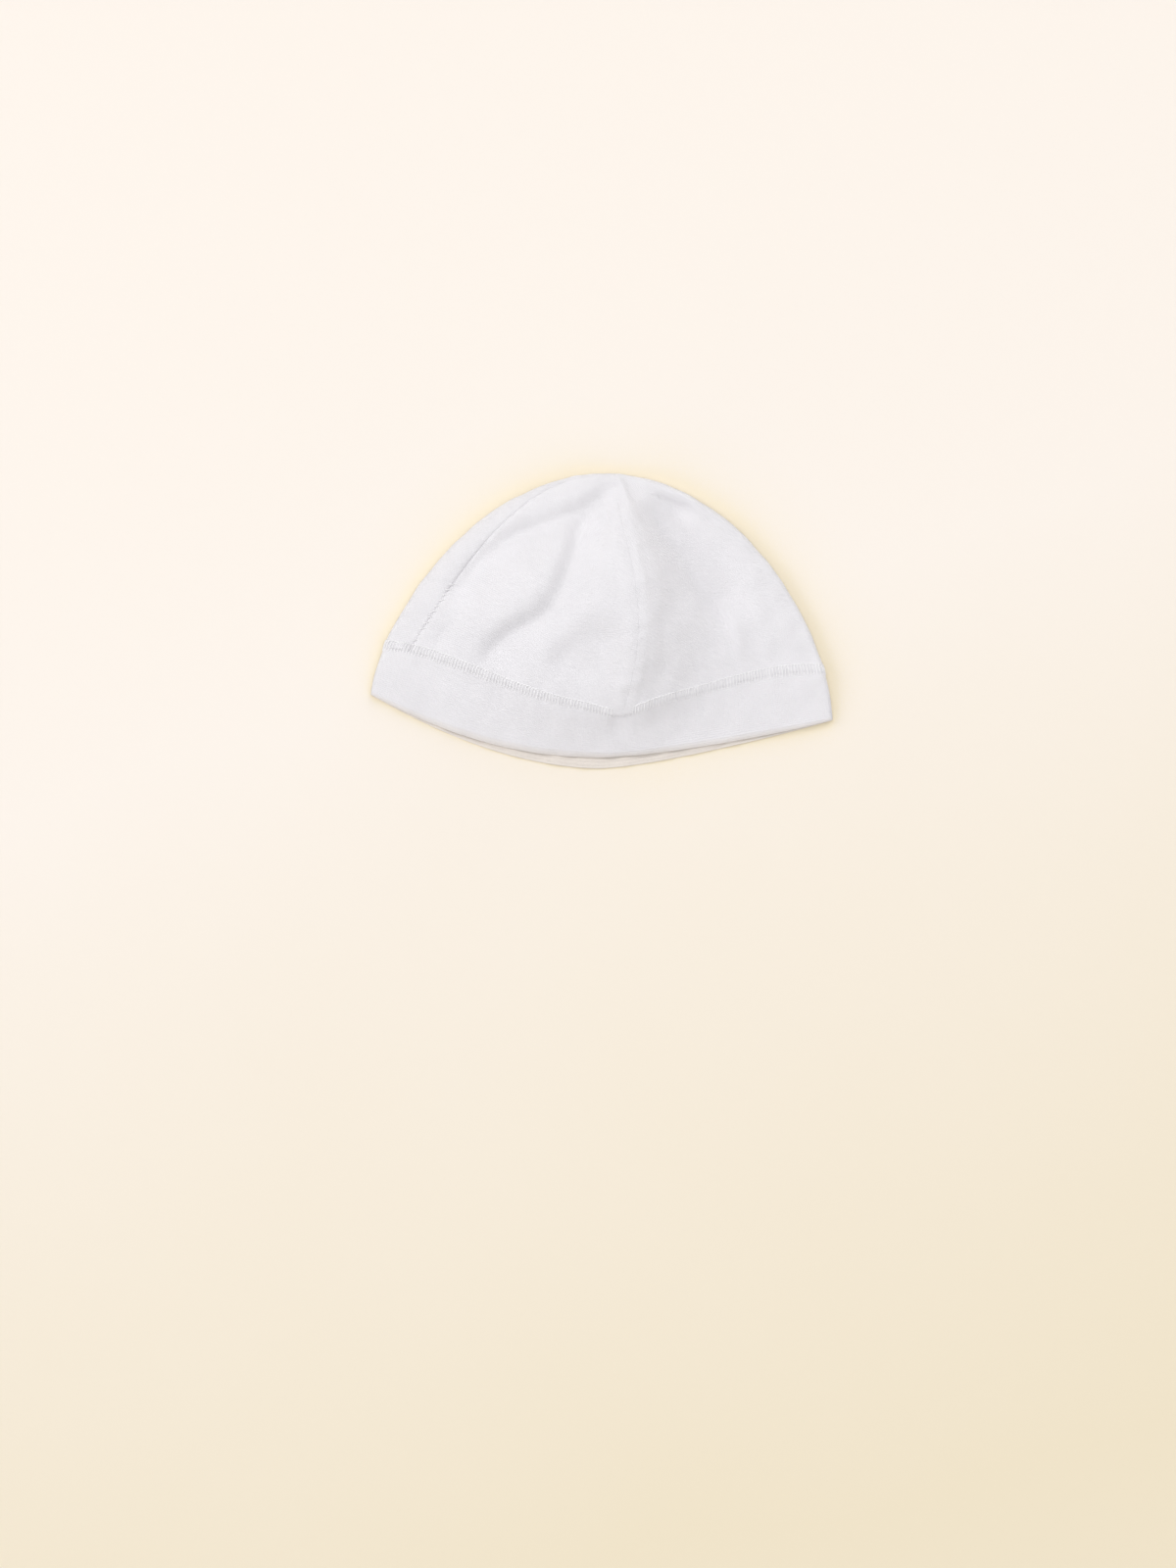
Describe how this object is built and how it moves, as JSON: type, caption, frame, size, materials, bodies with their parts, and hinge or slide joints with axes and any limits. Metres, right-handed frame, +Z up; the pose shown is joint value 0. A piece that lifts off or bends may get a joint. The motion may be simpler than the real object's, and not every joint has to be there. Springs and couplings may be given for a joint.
{
  "type": "baby hat",
  "caption": "Soft knitted cotton hat for a newborn, a gored dome with a plain doubled band round its open mouth, lying flat on its back.",
  "frame": {"origin": "middle of the hat's outline, on the surface that it lies on", "axes": "+X across the hat from its left fold to its right fold, +Y from the mouth to the top of the crown, +Z up from the surface"},
  "size_m": [0.1704, 0.1082, 0.0192],
  "materials": {
    "crown_jersey": "matt white cotton knit",
    "band_jersey": "matt white cotton knit"
  },
  "bodies": {
    "root": {"crown_front_left": "crown_jersey", "crown_front_right": "crown_jersey", "crown_back_right": "crown_jersey", "crown_back_left": "crown_jersey", "band": "band_jersey"}
  },
  "joints": []
}
